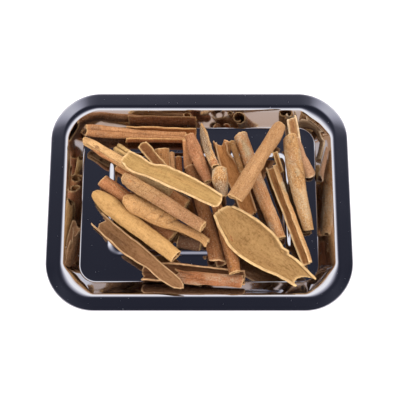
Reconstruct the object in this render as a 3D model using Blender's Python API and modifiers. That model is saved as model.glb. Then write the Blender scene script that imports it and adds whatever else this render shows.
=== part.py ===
"""A heap of cinnamon bark sticks lying in a shallow stainless steel tray.

+Z is up, metres. The origin is on the surface the tray stands on, under the middle of the tray.
Every stick is one strip of bark, curled along its length and thickened with Solidify. The sticks are
laid one after another, lowest first, each at rest on the tray and on the sticks already there.
"""
import math

import bpy
import numpy as np

MM = 0.001

# Tray
TRAY_LENGTH = 270 * MM
TRAY_WIDTH = 202 * MM
TRAY_CORNER = 44 * MM
TRAY_DEPTH = 16 * MM
SHEET_STEEL = 0.7 * MM
RIM_WIDTH = 13.8 * MM
RIM_DROP = 1.8 * MM
RIM_ROUND = 1.0 * MM
WALL_RUN = 14.5 * MM
WALL_TOP_ROUND = 6.0 * MM
WALL_FOOT_ROUND = 3.0 * MM
FILLET_SEGMENTS = 4
PANEL_INSET = 23.7 * MM
PANEL_STEP_RUN = 5.5 * MM
PANEL_RISE = 1.2 * MM
PANEL_CORNER = 9 * MM
CORNER_SEGMENTS = 7

# Bark
LAYING_GAP = 0.45 * MM
CELL = 0.6 * MM
SAMPLE_SPACING = 0.5 * MM
STATION_SPAN = 2.5 * MM
CURL_SAMPLES = 400

TONES = {
    "golden": (0.57, 0.34, 0.12),
    "tan": (0.52, 0.28, 0.12),
    "red": (0.40, 0.17, 0.07),
    "brown": (0.30, 0.15, 0.06),
    "grey": (0.34, 0.24, 0.13),
}
BARK_ROUGHNESS = 0.75
STEEL_COLOUR = (0.55, 0.55, 0.57)
STEEL_ROUGHNESS = 0.12

# What a stick is when its own entry does not say otherwise. Lengths in mm, angles in degrees.
# across, oval: width of the curl, and its height as a share of a round one
# turn, lean, hook: how far the strip curls in all, tighter at one edge, tighter at both edges
# narrow_a, narrow_b: share of the width lost at each end; slant and point: how the ends are cut
# bow, arch: sideways and upward bend of the stick; roll: 0 opens upwards, 180 turns the bark up
USUAL = dict(oval=0.9, turn=450, lean=0.3, hook=0.6, thick=1.7, narrow_a=0.0, narrow_b=0.0,
             slant_a=0.0, slant_b=0.0, point_a=0.0, point_b=0.0, bow=0.0, arch=0.0, roll=180,
             spans=3, facets=12, tone="tan")

# name, middle x and y, heading, length and width, and what sets the piece apart, lowest first
STICKS = [
    ("holding_gutter", -35, 60.5, -1, 64, 16.5,
     dict(turn=215, lean=0, hook=0.3, thick=1.5, roll=-4, facets=8, tone="red")),
    ("nested_stick", -58, 62.5, -2.5, 92, 10, dict(thick=1.35, roll=100, oval=0.85, tone="red")),
    ("front_gutter", -2, -67.5, -4.5, 98, 16,
     dict(turn=215, lean=0, hook=0.2, roll=0, facets=8, tone="brown")),
    ("front_slab", 10, -70.5, -8, 58, 12.5,
     dict(turn=120, lean=0, hook=0, roll=180, facets=6, spans=2, tone="red")),
    ("corner_gutter", 87, 62, -82, 34, 8, dict(turn=190, lean=0, hook=0, roll=0, facets=6)),
    ("side_curl", 95.5, 42, -70.5, 38, 8.5,
     dict(turn=200, lean=0, hook=0, narrow_a=0.45, bow=-3, roll=185, facets=7, spans=4)),
    ("back_stick", -11, 43.5, -87, 26, 7, dict(turn=400, thick=1.05, roll=150, facets=10, spans=2)),
    ("stub_left", -24.5, 35.4, -84, 24, 5, dict(turn=400, thick=1.05, roll=170, facets=9, spans=2)),
    ("stub_right", -18.4, 32.2, -86, 20, 4.8, dict(turn=400, thick=1.05, roll=190, facets=9, spans=2)),
    ("flat_piece", -33.5, 38.5, -86, 22, 12.5,
     dict(turn=120, lean=0, hook=0, roll=180, facets=5, spans=2)),
    ("middle_stick", 5.6, -13.2, -74.3, 91.5, 11.3, dict(thick=1.6, roll=170)),
    ("front_stick", 21.8, -36.8, -74.8, 66.5, 9.5, dict(thick=1.4, roll=200)),
    ("hidden_quill", -9, -39, -11, 21, 10, dict(thick=1.4, roll=150, tone="grey")),
    ("under_stick", -42.5, 15.3, -31, 73, 9.8, dict(thick=1.4, roll=170)),
    ("slit_tip", -63.8, 43.2, -41, 35, 6.3,
     dict(turn=540, lean=0, hook=3, thick=1.0, roll=0, point_a=2, tone="golden")),
    ("left_quill", -64.3, 30.2, -31, 93, 10.5, dict(thick=1.5, roll=155, tone="golden")),
    ("crumpled_gutter", 34, 23.5, -69.5, 75, 16.3,
     dict(turn=190, lean=0.2, hook=0.2, oval=0.7, slant_a=4, roll=10, facets=8, tone="brown")),
    ("centre_stick", 53, 12, -71, 103.5, 13, dict(roll=165)),
    ("thin_curl", 72, 38.5, -74, 20, 4.2, dict(turn=300, thick=1.0, roll=0, facets=7, spans=2)),
    ("right_quill", 89.5, 15.5, -80, 87, 13.6, dict(roll=175, oval=0.9)),
    ("open_gutter", 79.8, -13.3, -72.8, 96.5, 11,
     dict(turn=230, lean=0, hook=0.3, roll=28, facets=8, tone="golden")),
    ("brown_plate", -40.5, 36.2, -53, 38, 11,
     dict(turn=170, lean=0.2, hook=0.2, roll=-14, facets=6, tone="brown")),
    ("back_quill", -1, 34.3, -68, 47.5, 11.4, dict(thick=1.4, roll=160, narrow_a=0.15, tone="red")),
    ("thin_roll", 33.6, 38.3, -72.5, 30, 4.5,
     dict(turn=400, thick=0.95, roll=180, facets=9, spans=2)),
    ("grey_stick", 7.2, 50.5, -76, 56, 8.8, dict(thick=1.25, point_a=8, roll=185, spans=4, tone="grey")),
    ("short_piece", 19.4, 9.5, -85, 25.5, 13.2,
     dict(turn=260, lean=0, hook=0, roll=180, facets=8, tone="grey")),
    ("torn_gutter", -52, -50, -39.8, 98, 15.5,
     dict(turn=200, lean=0, hook=0.2, roll=8, narrow_b=0.3, slant_a=-1, point_a=-2, point_b=3,
          facets=8, spans=4, tone="brown")),
    ("lip_quill", -56, -6.7, -38.8, 84, 12.5, dict(roll=135, tone="red")),
    ("yellow_quill", -57.3, -24.5, -39.8, 98, 15,
     dict(thick=1.35, narrow_a=0.25, oval=0.75, roll=185, spans=4, tone="golden")),
    ("crumpled_piece", -28.5, -22.2, -29.6, 83, 11.6,
     dict(turn=330, lean=0.2, hook=0.4, bow=2, narrow_b=0.25, roll=175, spans=5)),
    ("broad_scoop", 54.9, -44.9, -40.5, 96, 39.5,
     dict(turn=95, lean=0, hook=0, thick=2.3, narrow_a=0.5, narrow_b=0.58, slant_a=4, slant_b=3,
          bow=-5, roll=0, facets=8, spans=8, tone="golden")),
    ("middle_quill", -31.2, -9.2, -32.3, 83, 13.8, dict(roll=160)),
    ("long_gutter", -24.2, 12, -27.3, 95.5, 18.2,
     dict(turn=150, lean=0, hook=0.3, narrow_a=0.12, narrow_b=0.2, roll=-12, facets=8, spans=5,
          tone="golden")),
    ("diagonal_quill", 51.1, 28.8, -119.8, 85.5, 14, dict(roll=170, slant_b=2)),
]


def clear_scene():
    for item in list(bpy.data.objects):
        bpy.data.objects.remove(item, do_unlink=True)


def make_material(name, colour, roughness, metallic):
    material = bpy.data.materials.new(name)
    material.use_nodes = True
    shader = material.node_tree.nodes["Principled BSDF"]
    shader.inputs["Base Color"].default_value = (*colour, 1.0)
    shader.inputs["Roughness"].default_value = roughness
    shader.inputs["Metallic"].default_value = metallic
    return material


def grid_faces(rows, columns, closed):
    """Quads between neighbouring rows of points; closed joins each row's last point to its first."""
    across = columns if closed else columns - 1
    row, column = np.meshgrid(np.arange(rows - 1), np.arange(across), indexing="ij")
    beside = (column + 1) % columns
    corners = (row * columns + column, row * columns + beside,
               (row + 1) * columns + beside, (row + 1) * columns + column)
    return np.stack(corners, axis=-1).reshape(-1, 4).tolist()


def make_object(name, points, faces, thickness, material, collection):
    """An open surface given its wall by Solidify, half to each side."""
    mesh = bpy.data.meshes.new(name)
    mesh.from_pydata(np.asarray(points, dtype=float).tolist(), [], faces)
    mesh.materials.append(material)
    mesh.update()
    item = bpy.data.objects.new(name, mesh)
    collection.objects.link(item)
    wall = item.modifiers.new("wall", "SOLIDIFY")
    wall.thickness = thickness
    wall.offset = 0.0
    wall.use_even_offset = True
    return item


def rounded_rectangle(length, width, corner, height):
    """One ring of points at the given height, counter-clockwise, its corners quarter circles."""
    angles = np.linspace(0.0, math.pi / 2, CORNER_SEGMENTS + 1)
    ring = []
    for quarter, (side_x, side_y) in enumerate(((1, 1), (-1, 1), (-1, -1), (1, -1))):
        turned = angles + quarter * math.pi / 2
        x = side_x * (length / 2 - corner) + corner * np.cos(turned)
        y = side_y * (width / 2 - corner) + corner * np.sin(turned)
        ring.append(np.stack([x, y, np.full_like(x, height)], axis=-1))
    return np.concatenate(ring)


def fillet(before, corner, after, radius):
    """Points on the arc of the given radius that rounds a corner between two straight lines."""
    before, corner, after = (np.array(point) for point in (before, corner, after))
    back = (before - corner) / np.linalg.norm(before - corner)
    on = (after - corner) / np.linalg.norm(after - corner)
    half = math.acos(float(back @ on)) / 2
    middle = corner + (back + on) / np.linalg.norm(back + on) * radius / math.sin(half)
    start = corner + back * radius / math.tan(half) - middle
    finish = corner + on * radius / math.tan(half) - middle
    sweep = math.pi - 2 * half
    shares = np.linspace(0.0, 1.0, FILLET_SEGMENTS + 1)
    return [tuple(middle + (start * math.sin((1 - share) * sweep) + finish * math.sin(share * sweep))
                  / math.sin(sweep)) for share in shares]


def tray_profile():
    """Distance in from the outline and height of each ring, from the turned edge to the panel."""
    low = SHEET_STEEL / 2
    rim = low + TRAY_DEPTH
    floor_edge = RIM_WIDTH + WALL_RUN
    panel_edge = floor_edge + PANEL_INSET
    edge, top, foot = (0.0, rim - RIM_DROP), (RIM_WIDTH, rim), (floor_edge, low)
    panel = [(panel_edge, low), (panel_edge + PANEL_STEP_RUN, low + PANEL_RISE)]
    return ([edge] + fillet(edge, (0.0, rim), top, RIM_ROUND) + fillet((0.0, rim), top, foot, WALL_TOP_ROUND)
            + fillet(top, foot, panel[0], WALL_FOOT_ROUND) + panel)


def make_tray(collection):
    """Rings of rounded rectangles stepping inwards and down, closed by one flat panel."""
    rings = []
    for inset, height in tray_profile():
        inset += SHEET_STEEL / 2
        corner = max(TRAY_CORNER - inset, PANEL_CORNER)
        rings.append(rounded_rectangle(TRAY_LENGTH - 2 * inset, TRAY_WIDTH - 2 * inset, corner, height))
    columns = len(rings[0])
    faces = grid_faces(len(rings), columns, closed=True)
    last = (len(rings) - 1) * columns
    faces.append(list(range(last, last + columns)))
    steel = make_material("tray_steel", STEEL_COLOUR, STEEL_ROUGHNESS, 1.0)
    return make_object("tray", np.concatenate(rings), faces, SHEET_STEEL, steel, collection)


def curl_outline(form, shares):
    """The strip's section across, as points at the given shares (-1 to 1) of its girth.

    Its curvature is 1 + lean * u + hook * u * u, scaled so that the whole strip turns through turn.
    The outline is then scaled to the width across, squashed by oval and centred.
    """
    u = np.linspace(-1.0, 1.0, CURL_SAMPLES)
    lean, hook = form["lean"], form["hook"]
    heading = math.radians(form["turn"]) / 2 * (u + lean * u**2 / 2 + hook * u**3 / 3) / (1 + hook / 3)
    step = u[1] - u[0]
    side = np.cumsum(np.cos(heading)) * step
    rise = np.cumsum(np.sin(heading)) * step
    scale = form["across"] / np.ptp(side)
    side = (side - (side.max() + side.min()) / 2) * scale
    rise = (rise - (rise.max() + rise.min()) / 2) * scale * form["oval"]
    return np.interp(shares, u, side), np.interp(shares, u, rise)


def bark_points(form):
    """The strip's middle surface along +X: rows of curl outlines between two cut ends, rolled about X."""
    shares = np.linspace(-1.0, 1.0, form["facets"] + 1)
    along = np.linspace(0.0, 1.0, form["spans"] + 1)[:, None]
    side, rise = curl_outline(form, shares)
    full = 1 - form["narrow_a"] * (1 - along)**3 - form["narrow_b"] * along**3
    start = -form["length"] / 2 + form["slant_a"] * shares + form["point_a"] * np.abs(shares)
    finish = form["length"] / 2 + form["slant_b"] * shares - form["point_b"] * np.abs(shares)
    x = start + (finish - start) * along
    belly = 1 - (2 * along - 1)**2
    roll = math.radians(form["roll"])
    y = (side * math.cos(roll) - rise * math.sin(roll)) * full + form["bow"] * belly
    z = (side * math.sin(roll) + rise * math.cos(roll)) * full + form["arch"] * belly
    return np.stack([x, y, z], axis=-1).reshape(-1, 3)


def evaluated_triangles(item):
    """The finished mesh's triangles in the object's own axes, as an array of corners."""
    bpy.context.view_layer.update()
    shown = item.evaluated_get(bpy.context.evaluated_depsgraph_get())
    mesh = shown.to_mesh()
    mesh.calc_loop_triangles()
    points = np.array([vertex.co for vertex in mesh.vertices])
    corners = np.array([triangle.vertices for triangle in mesh.loop_triangles])
    shown.to_mesh_clear()
    return points[corners]


def surface_samples(triangles):
    """Points spread over every triangle, close enough that none of the cells it covers is missed."""
    spread = []
    for corner_a, corner_b, corner_c in triangles:
        side_b, side_c = corner_b - corner_a, corner_c - corner_a
        longest = max(np.linalg.norm(side_b), np.linalg.norm(side_c), np.linalg.norm(side_c - side_b))
        steps = int(math.ceil(longest / SAMPLE_SPACING)) + 1
        share_b, share_c = np.meshgrid(np.linspace(0, 1, steps), np.linspace(0, 1, steps))
        inside = share_b + share_c <= 1.0 + 1e-9
        spread.append(corner_a + share_b[inside, None] * side_b + share_c[inside, None] * side_c)
    return np.concatenate(spread)


class Ground:
    """Height of the highest thing so far over each square cell of the tray."""

    def __init__(self):
        self.columns = int(TRAY_LENGTH / CELL) + 4
        self.rows = int(TRAY_WIDTH / CELL) + 4
        self.height = np.zeros((self.rows, self.columns))

    def cells(self, points):
        column = np.clip(np.floor(points[:, 0] / CELL).astype(int) + self.columns // 2, 1, self.columns - 2)
        row = np.clip(np.floor(points[:, 1] / CELL).astype(int) + self.rows // 2, 1, self.rows - 2)
        return row, column

    def clearance_needed(self, points):
        """How far each point would have to rise to stand level with what lies under it."""
        row, column = self.cells(points)
        return self.height[row, column] - points[:, 2]

    def add(self, points):
        """Raise the cells under the points, and the eight around each, to the points' height."""
        row, column = self.cells(points)
        for row_step in (-1, 0, 1):
            for column_step in (-1, 0, 1):
                np.maximum.at(self.height, (row + row_step, column + column_step), points[:, 2])


def turn_matrix(heading, pitch):
    """Pitch lifts the +X end, then heading turns the stick about Z."""
    cos_h, sin_h = math.cos(heading), math.sin(heading)
    cos_p, sin_p = math.cos(pitch), math.sin(pitch)
    about_z = np.array([[cos_h, -sin_h, 0], [sin_h, cos_h, 0], [0, 0, 1]])
    about_y = np.array([[cos_p, 0, -sin_p], [0, 1, 0], [sin_p, 0, cos_p]])
    return about_z @ about_y


def resting_slope(along, needed):
    """Slope of the line a stick lies on: the taut string over the needed heights, at its middle."""
    station = np.round(along / STATION_SPAN).astype(int)
    places = np.unique(station)
    heights = np.array([needed[station == place].max() for place in places])
    string = []
    for place, height in zip(places * STATION_SPAN, heights):
        while len(string) >= 2:
            (x_0, h_0), (x_1, h_1) = string[-2], string[-1]
            if (h_1 - h_0) * (place - x_0) <= (height - h_0) * (x_1 - x_0):
                string.pop()
            else:
                break
        string.append((place, height))
    for (x_0, h_0), (x_1, h_1) in zip(string, string[1:]):
        if x_0 <= 0.0 <= x_1:
            return (h_1 - h_0) / (x_1 - x_0)
    return 0.0


def lay(item, x, y, heading, ground):
    """Set the stick down on the ground at x, y and let it tip until it rests on both sides."""
    local = surface_samples(evaluated_triangles(item))
    level = local @ turn_matrix(heading, 0.0).T + (x, y, 0.0)
    pitch = math.atan(resting_slope(local[:, 0], ground.clearance_needed(level)))
    tipped = local @ turn_matrix(heading, pitch).T + (x, y, 0.0)
    lift = ground.clearance_needed(tipped).max() + LAYING_GAP
    item.location = (x, y, lift)
    item.rotation_euler = (0.0, -pitch, heading)
    ground.add(tipped + (0.0, 0.0, lift))


def make_stick(entry, collection, ground):
    name, x, y, heading, length, across, own = entry
    form = {**USUAL, **own, "length": length, "across": across}
    for key in ("length", "across", "thick", "slant_a", "slant_b", "point_a", "point_b", "bow", "arch"):
        form[key] = form[key] * MM
    bark = make_material(name + "_bark", TONES[form["tone"]], BARK_ROUGHNESS, 0.0)
    faces = grid_faces(form["spans"] + 1, form["facets"] + 1, closed=False)
    item = make_object(name, bark_points(form), faces, form["thick"], bark, collection)
    lay(item, x * MM, y * MM, math.radians(heading), ground)
    return item


def main():
    clear_scene()
    collection = bpy.data.collections.new("cinnamon_sticks_in_tray")
    bpy.context.scene.collection.children.link(collection)
    ground = Ground()
    tray = make_tray(collection)
    ground.add(surface_samples(evaluated_triangles(tray)))
    for entry in STICKS:
        make_stick(entry, collection, ground)


main()
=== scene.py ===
import math

import bpy
import numpy as np
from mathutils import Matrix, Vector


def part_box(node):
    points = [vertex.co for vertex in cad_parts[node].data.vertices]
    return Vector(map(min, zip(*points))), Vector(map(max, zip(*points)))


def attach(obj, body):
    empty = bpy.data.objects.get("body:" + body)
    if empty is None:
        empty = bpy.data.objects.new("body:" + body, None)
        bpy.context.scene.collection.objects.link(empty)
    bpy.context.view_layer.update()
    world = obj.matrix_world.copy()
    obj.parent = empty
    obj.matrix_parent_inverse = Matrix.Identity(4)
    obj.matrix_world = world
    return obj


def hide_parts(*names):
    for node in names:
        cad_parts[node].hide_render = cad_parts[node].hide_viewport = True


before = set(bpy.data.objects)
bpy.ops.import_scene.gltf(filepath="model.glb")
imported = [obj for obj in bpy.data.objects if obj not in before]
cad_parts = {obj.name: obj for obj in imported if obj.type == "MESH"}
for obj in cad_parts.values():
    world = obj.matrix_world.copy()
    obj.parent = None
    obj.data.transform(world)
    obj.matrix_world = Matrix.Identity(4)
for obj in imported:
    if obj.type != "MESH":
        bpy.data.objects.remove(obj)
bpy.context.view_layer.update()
mm = 0.001
scene = bpy.context.scene
scene.view_settings.view_transform = "Standard"
print("frame loaded:", len(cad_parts), "nodes")


def toLinear(colour):
    # a screen colour of 0 to 255 becomes light: each channel over 255, to the power 2.2
    return tuple((value / 255.0) ** 2.2 for value in colour) + (1.0,)


def softNoise(a, b, seed):
    # value noise, 0 to 1: a random number at each whole (a, b), eased between the four around a point
    def corner(i, j):
        # the fraction left over by a large sine, different at every whole place
        mixed = np.sin(i * 127.1 + j * 311.7 + seed * 74.7) * 43758.5453
        return mixed - np.floor(mixed)

    i, j = np.floor(a), np.floor(b)
    fa, fb = a - i, b - j
    fa, fb = (f * f * f * (f * (6 * f - 15) + 10) for f in (fa, fb))
    low = corner(i, j) * (1 - fa) + corner(i + 1, j) * fa
    high = corner(i, j + 1) * (1 - fa) + corner(i + 1, j + 1) * fa
    return low * (1 - fb) + high * fb


def layered(a, b, seed, layers=3):
    # softNoise summed over layers, each twice as fine and half as strong, about -1 to 1
    total, size = 0.0, 0.0
    for k in range(layers):
        total = total + (2 * softNoise(a * 2 ** k, b * 2 ** k, seed + 13 * k) - 1) / 2 ** k
        size += 1 / 2 ** k
    return total / size


def easeStep(low, high, value):
    # 0 below low, 1 above high, and an s-curve between
    share = np.clip((value - low) / (high - low), 0, 1)
    return share * share * (3 - 2 * share)


def putMesh(name, points, faces, material, caps=(), uv=None, look=None, stainAndPaintedLight=None):
    # quads from a whole array of corners, and caps with many corners each; uv, look and the stains with
    # painted light have one row for each face corner, and an edge that turns by more than 60 degrees stays
    # sharp
    mesh = bpy.data.meshes.new(name)
    mesh.from_pydata(points.tolist(), [], faces.tolist() + list(caps))
    if uv is not None:
        layer = mesh.uv_layers.new(name="along")
        layer.data.foreach_set("uv", uv.astype(np.float32).ravel())
    for title, colours in (("look", look), ("stainAndPaintedLight", stainAndPaintedLight)):
        if colours is not None:
            layer = mesh.color_attributes.new(name=title, type="FLOAT_COLOR", domain="CORNER")
            layer.data.foreach_set("color", colours.astype(np.float32).ravel())
    mesh.materials.append(material)
    mesh.shade_smooth()
    mesh.set_sharp_from_angle(angle=math.radians(60))
    piece = bpy.data.objects.new(name, mesh)
    scene.collection.objects.link(piece)
    return piece


def gridQuads(rows, columns, closed=False):
    # the four points around each cell of a grid; a closed one joins its last column to its first
    i, j = np.meshgrid(np.arange(rows - 1), np.arange(columns if closed else columns - 1), indexing="ij")
    i, j = i.ravel(), j.ravel()
    beside, here, after = (j + 1) % columns, i * columns, (i + 1) * columns
    return np.stack([here + j, here + beside, after + beside, after + j], 1)


def startMaterial(name, sockets):
    # a new material with its tree and its shader, whose sockets are set to these values
    material = bpy.data.materials.new(name)
    material.use_nodes = True
    shader = material.node_tree.nodes["Principled BSDF"]
    for key, value in sockets.items():
        shader.inputs[key].default_value = value
    return material, material.node_tree, shader


def makeNode(tree, kind, sockets=None, **settings):
    # a node with its settings, and its sockets set to a value or linked to another node's output
    made = tree.nodes.new(kind)
    for key, value in settings.items():
        setattr(made, key, value)
    for key, value in (sockets or {}).items():
        if isinstance(value, bpy.types.NodeSocket):
            tree.links.new(value, made.inputs[key])
        else:
            made.inputs[key].default_value = value
    return made


def makeRamp(tree, source, stops):
    # the source looked up on a colour ramp, straight between its (place, colour) stops
    ramp = makeNode(tree, "ShaderNodeValToRGB", {"Fac": source})
    while len(ramp.color_ramp.elements) < len(stops):
        ramp.color_ramp.elements.new(0.5)
    for element, (place, colour) in zip(ramp.color_ramp.elements, stops):
        element.position = place
        element.color = colour
    return ramp.outputs["Color"]


def mixColour(tree, share, first, second, blend="MIX"):
    # (1 - share) * first + share * second, and with MULTIPLY first * second stands in for second
    mix = makeNode(tree, "ShaderNodeMix", {0: share, 6: first, 7: second},      # its sockets for colours
                   data_type="RGBA", blend_type=blend)
    return mix.outputs[2]


def sums(tree, operation, first, second):
    # first + second, first - second or first * second; a product is kept between 0 and 1
    made = makeNode(tree, "ShaderNodeMath", {0: first, 1: second}, operation=operation)
    made.use_clamp = operation == "MULTIPLY"
    return made.outputs[0]


room = dict(
    floorShade=(250, 250, 250), floorGlow=0.45, floorSize=20.0, floorRough=0.9, floorShine=0.1,
    floorDrop=0.3,                # mm from the tray's foot down to the floor
    glow=1.25,                    # strength of the pale surroundings
    # the surroundings by height, degrees above level and share of the glow: warm and dim low down, then
    # white, then a dark ceiling, which is what the rim and the floor of the tray mirror
    heights=[(0, 0.40, 0.23, 0.13), (12, 0.48, 0.29, 0.17), (26, 1.0, 1.0, 1.0), (42, 1.0, 1.0, 1.0),
             (54, 0.40, 0.40, 0.46), (62, 0.10, 0.10, 0.125), (70, 0.034, 0.036, 0.050),
             (90, 0.018, 0.019, 0.030)],
    # soft lamps: watts, size and place in metres; the last four stand lower, and light the sides
    lamps=[("key", 5.0, 0.8, (0.16, 0.05, 1.0)), ("fill", 2.6, 0.9, (-0.3, -0.45, 0.85)),
           ("right", 2.2, 0.5, (0.75, 0.0, 0.34)), ("left", 2.2, 0.5, (-0.75, 0.0, 0.34)),
           ("back", 3.0, 0.5, (0.0, 0.6, 0.55)), ("front", 1.6, 0.5, (0.0, -0.7, 0.32))],
)


def buildRoom():
    # the surroundings' brightness by height, a glowing pale floor, and soft lamps aimed at the middle
    world = bpy.data.worlds.new("studio")
    scene.world = world
    world.use_nodes = True
    tree = world.node_tree
    way = makeNode(tree, "ShaderNodeTexCoord").outputs["Generated"]
    height = makeNode(tree, "ShaderNodeSeparateXYZ", {"Vector": way}).outputs["Z"]
    stops = [(math.sin(math.radians(up)), (r, g, b, 1.0)) for up, r, g, b in room["heights"]]
    background = tree.nodes["Background"]
    tree.links.new(makeRamp(tree, height, stops), background.inputs["Color"])
    background.inputs["Strength"].default_value = room["glow"]

    half = room["floorSize"] / 2
    below = -room["floorDrop"] * mm
    corners = np.array([[-half, -half, below], [half, -half, below],
                        [half, half, below], [-half, half, below]])
    pale = toLinear(room["floorShade"])
    paint, _, _ = startMaterial("paleFloor", {
        "Base Color": pale, "Roughness": room["floorRough"], "Specular IOR Level": room["floorShine"],
        "Emission Color": pale, "Emission Strength": room["floorGlow"]})
    putMesh("floor", corners, np.array([[0, 1, 2, 3]]), paint)

    for name, watts, size, place in room["lamps"]:
        lamp = bpy.data.lights.new(name, "AREA")
        lamp.energy = watts
        lamp.size = size
        holder = bpy.data.objects.new(name, lamp)
        scene.collection.objects.link(holder)
        place = np.array(place)
        holder.location = place
        down = -place / np.linalg.norm(place)
        holder.rotation_euler = (math.acos(-down[2]), 0.0, math.atan2(down[1], down[0]) - math.pi / 2)
        holder.visible_glossy = False


camera = dict(elevation=74, distance=0.834, aim=(0.0006, -0.0008, 0.015), lens=84.15, sensor=36,
              clip=(0.01, 20))


def buildCamera():
    # distance * cos(elevation) in front of the aim and distance * sin(elevation) above it, looking at it
    lens = bpy.data.cameras.new("view")
    lens.lens, lens.sensor_width = camera["lens"], camera["sensor"]
    lens.clip_start, lens.clip_end = camera["clip"]
    holder = bpy.data.objects.new("view", lens)
    scene.collection.objects.link(holder)
    up = math.radians(camera["elevation"])
    x, y, z = camera["aim"]
    holder.location = (x, y - camera["distance"] * math.cos(up), z + camera["distance"] * math.sin(up))
    holder.rotation_euler = (math.pi / 2 - up, 0.0, 0.0)
    scene.camera = holder


buildRoom()
buildCamera()
print("room, light and camera ready")


tray = dict(
    corner=44, sheet=0.7, rim=11.2, rimDrop=1.8, rimRound=1.0,
    foot=29.6, topRound=6.0, footRound=3.0,       # where the wall ends, and its two bends
    cornerRim=8.5, cornerTopRound=18.0,           # the rim gives way to a slacker bend round the corners
    slack=dict(front=1.0, backRight=0.7, backLeft=0.15),
    panelInset=22.4, panelRun=5.5, panelRise=1.2, panelCorner=9,
    beadRise=0.55, beadRun=2.4,                   # the step to the panel stands proud before it levels
    cornerSag=1.7,                                # how far the flange's outer edge dips at the corners
    # how many points each stretch of it is made with
    points=dict(corner=29, side=30, edge=8, topBend=17, slope=6, footBend=13, step=11),
    steel=(205, 205, 212), roughness=0.06,
    clouds=26.0, dust=420.0, waves=14.0, waveDepth=0.4,    # features in a metre, and mm
)


def arc(centre, radius, first, last, points):
    # points of a circle, measured from straight up, from the first angle to the last
    angle = np.linspace(first, last, points)
    return np.column_stack([centre[0] + radius * np.sin(angle), centre[1] + radius * np.cos(angle)])


def wallRows(rim, rimTop, floorTop, topRound):
    # flat rim, a bend down, a straight slope that touches both bends, a bend out to the floor
    count = tray["points"]
    run, rise = tray["foot"] - rim, rimTop - floorTop
    bends = topRound + tray["footRound"]
    straight = math.sqrt(run ** 2 + (rise - bends) ** 2 - bends ** 2)
    slope = math.atan2(rise - bends, run) + math.atan2(bends, straight)
    upper = arc((rim, rimTop - topRound), topRound, 0, slope, count["topBend"])
    lower = arc((tray["foot"], floorTop + tray["footRound"]), tray["footRound"],
                math.pi + slope, math.pi, count["footBend"])
    share = np.linspace(0, 1, count["slope"] + 2)[1:-1, None]
    return np.concatenate([upper, upper[-1] * (1 - share) + lower[0] * share, lower])


def trayRows(rim, rimTop, floorTop, topRound):
    # rows of (inset, height) in mm from the turned-down edge over the rim and the wall to the raised panel
    count, edgeRound = tray["points"], tray["rimRound"]
    panel = tray["foot"] + tray["panelInset"]
    flat = panel + tray["panelRun"] + tray["beadRun"]
    rise = np.linspace(0, 1, count["step"])[:, None]
    ease = easeStep(0.0, 1.0, rise)
    crest = tray["panelRise"] + tray["beadRise"]
    step = np.concatenate([panel + rise * tray["panelRun"], floorTop + crest * ease], axis=1)
    inner = np.concatenate([panel + tray["panelRun"] + rise * tray["beadRun"],
                            floorTop + crest - tray["beadRise"] * ease], axis=1)[1:]
    edge = arc((edgeRound, rimTop - edgeRound), edgeRound, -math.pi / 2, 0, count["edge"])
    return np.concatenate([
        [(0.0, rimTop - tray["rimDrop"])], edge,
        [(edgeRound + share * (rim - edgeRound), rimTop) for share in (0.15, 0.3, 0.45, 0.6, 0.75, 0.9)],
        wallRows(rim, rimTop, floorTop, topRound),
        [(tray["foot"] + share * tray["panelInset"], floorTop) for share in (0.25, 0.5, 0.75, 0.95)],
        step, inner,
        [(flat + extra, floorTop + tray["panelRise"]) for extra in (0.5, 3.0, 8.0)]])


def aroundTray(perCorner, perSide):
    # each column of the tray: which way its corner or side lies, and which way it faces
    lies, faces = [], []
    signs = np.array([(1, 1), (-1, 1), (-1, -1), (1, -1)], float)
    for k in range(4):
        angle = np.linspace(0, math.pi / 2, perCorner) + k * math.pi / 2
        lies.append(np.repeat(signs[k:k + 1], perCorner, axis=0))
        faces.append(np.column_stack([np.cos(angle), np.sin(angle)]))
        share = np.linspace(0, 1, perSide + 2)[1:-1, None]
        lies.append(signs[k] * (1 - share) + signs[(k + 1) % 4] * share)
        faces.append(np.repeat(faces[-1][-1:], perSide, axis=0))
    return np.concatenate(lies), np.concatenate(faces)


def steelMaterial():
    # bright rolled steel: faint clouding and dust in the gloss, long shallow waves in the sheet
    material, tree, shader = startMaterial(
        "polishedSteel", {"Base Color": toLinear(tray["steel"]), "Metallic": 1.0})
    place = makeNode(tree, "ShaderNodeTexCoord").outputs["Object"]

    def noise(scale, detail):
        # noise with this many features in a metre
        return makeNode(tree, "ShaderNodeTexNoise",
                        {"Vector": place, "Scale": scale, "Detail": detail}).outputs[0]

    cloudy = makeNode(tree, "ShaderNodeMapRange",
                      {"Value": noise(tray["clouds"], 4.0), "From Min": 0.35, "From Max": 0.75,
                       "To Min": tray["roughness"] * 0.6, "To Max": tray["roughness"] * 1.9}).outputs[0]
    specks = makeNode(tree, "ShaderNodeMapRange",
                      {"Value": noise(tray["dust"], 3.0), "From Min": 0.68, "From Max": 0.78,
                       "To Min": 0.0, "To Max": 0.35}).outputs[0]
    tree.links.new(sums(tree, "ADD", cloudy, specks), shader.inputs["Roughness"])
    bump = makeNode(tree, "ShaderNodeBump", {"Height": noise(tray["waves"], 1.0), "Strength": 0.35,
                                             "Distance": tray["waveDepth"] * mm})
    tree.links.new(bump.outputs[0], shader.inputs["Normal"])
    return material


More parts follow.
